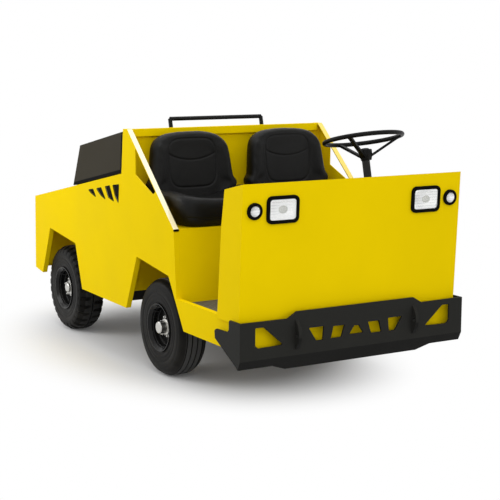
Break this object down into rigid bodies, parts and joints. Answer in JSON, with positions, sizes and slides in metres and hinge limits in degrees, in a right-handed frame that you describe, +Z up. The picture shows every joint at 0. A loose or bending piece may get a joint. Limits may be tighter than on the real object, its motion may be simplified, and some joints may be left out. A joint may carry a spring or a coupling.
{
  "type": "airport_baggage_tug",
  "caption": "Compact open-cab electric airport baggage tug, yellow sheet-steel body, charcoal hood, black bumper",
  "frame": {"origin": "ground level below the centre of the whole vehicle's outline", "axes": "+X to the driver's left, +Y to the rear, +Z up; the front faces -Y"},
  "size_m": [1.368, 2.9019, 1.3961],
  "materials": {
    "body_paint": "semi-gloss yellow powder coat",
    "bumper_black": "satin textured black coat",
    "dash_black": "matt black",
    "floor_grip": "grey anti-slip coating",
    "frame_black": "black chassis paint",
    "battery_case": "acid-proof dark grey paint",
    "lamp_trim": "black moulded bezel",
    "lamp_glass": "fluted clear glass",
    "tail_red": "red moulded lens",
    "seat_vinyl": "grained black vinyl",
    "hood_dark": "satin charcoal coat",
    "bar_black": "black tube",
    "wheel_grip": "moulded black grip",
    "tyre": "worn matt rubber",
    "rim_black": "gloss black steel disc",
    "hub_steel": "bare machined steel"
  },
  "bodies": {
    "chassis": {"side_wall_right": "body_paint", "side_wall_left": "body_paint", "front_cowl": "body_paint", "dash_panel": "dash_black", "floor_plate": "floor_grip", "seat_box": "body_paint", "cab_back_wall": "body_paint", "rear_deck": "body_paint", "tail_panel": "body_paint", "front_wheel_wells": "body_paint", "rear_wheel_wells": "body_paint", "chassis_frame": "frame_black", "battery": "battery_case", "front_bumper": "bumper_black", "pull_lugs": "bumper_black", "headlamp_bezels": "lamp_trim", "headlamp_lenses": "lamp_glass", "marker_bezels": "lamp_trim", "marker_lenses": "lamp_glass", "tail_lamps": "tail_red", "seat_cushion_right": "seat_vinyl", "seat_back_right": "seat_vinyl", "seat_cushion_left": "seat_vinyl", "seat_back_left": "seat_vinyl", "hood_hinges": "frame_black", "steering_column": "dash_black", "pedals": "dash_black", "rear_hitch": "frame_black", "front_axle": "frame_black", "front_springs": "frame_black", "rear_axle": "frame_black", "rear_springs": "frame_black", "drive_motor": "frame_black"},
    "hood": {"hood": "hood_dark", "lift_bar": "bar_black"},
    "steering_wheel": {"steering_wheel": "wheel_grip"},
    "knuckle_right": {"knuckle_right": "frame_black"},
    "knuckle_left": {"knuckle_left": "frame_black"},
    "tie_rod": {"tie_rod": "frame_black"},
    "wheel_front_right": {"tyre_front_right": "tyre", "rim_front_right": "rim_black", "hub_front_right": "hub_steel"},
    "wheel_front_left": {"tyre_front_left": "tyre", "rim_front_left": "rim_black", "hub_front_left": "hub_steel"},
    "wheel_rear_right": {"tyre_rear_right": "tyre", "rim_rear_right": "rim_black", "hub_rear_right": "hub_steel"},
    "wheel_rear_left": {"tyre_rear_left": "tyre", "rim_rear_left": "rim_black", "hub_rear_left": "hub_steel"}
  },
  "joints": [
    {"name": "hood_hinge", "type": "hinge", "parent": "chassis", "child": "hood", "pos_m": [0, 0.703, 0.96026], "axis": [-1, 0, 0], "range_deg": [0, 60]},
    {"name": "steer_right", "type": "hinge", "parent": "chassis", "child": "knuckle_right", "pos_m": [-0.418, -0.409, 0.27], "axis": [0, 0, 1], "range_deg": [-30, 30]},
    {"name": "steer_left", "type": "hinge", "parent": "chassis", "child": "knuckle_left", "pos_m": [0.418, -0.409, 0.27], "axis": [0, 0, 1], "range_deg": [-30, 30]},
    {"name": "tie_rod_pivot", "type": "hinge", "parent": "knuckle_right", "child": "tie_rod", "pos_m": [-0.418, -0.289, 0.216], "axis": [0, 0, 1], "range_deg": [-30, 30]},
    {"name": "steering_turn", "type": "hinge", "parent": "chassis", "child": "steering_wheel", "pos_m": [0.306, -1.04184, 1.21764], "axis": [0, 0.2284, 0.9736], "range_deg": [-540, 540]},
    {"name": "spin_front_right", "type": "hinge", "parent": "knuckle_right", "child": "wheel_front_right", "pos_m": [-0.53, -0.409, 0.27], "axis": [1, 0, 0], "continuous": true},
    {"name": "spin_front_left", "type": "hinge", "parent": "knuckle_left", "child": "wheel_front_left", "pos_m": [0.53, -0.409, 0.27], "axis": [1, 0, 0], "continuous": true},
    {"name": "spin_rear_right", "type": "hinge", "parent": "chassis", "child": "wheel_rear_right", "pos_m": [-0.53, 0.941, 0.27], "axis": [1, 0, 0], "continuous": true},
    {"name": "spin_rear_left", "type": "hinge", "parent": "chassis", "child": "wheel_rear_left", "pos_m": [0.53, 0.941, 0.27], "axis": [1, 0, 0], "continuous": true}
  ],
  "couplings": [
    {"joint": "steer_left", "follows": "steer_right", "ratio": 1},
    {"joint": "tie_rod_pivot", "follows": "steer_right", "ratio": -1},
    {"joint": "steering_turn", "follows": "steer_right", "ratio": 18}
  ]
}
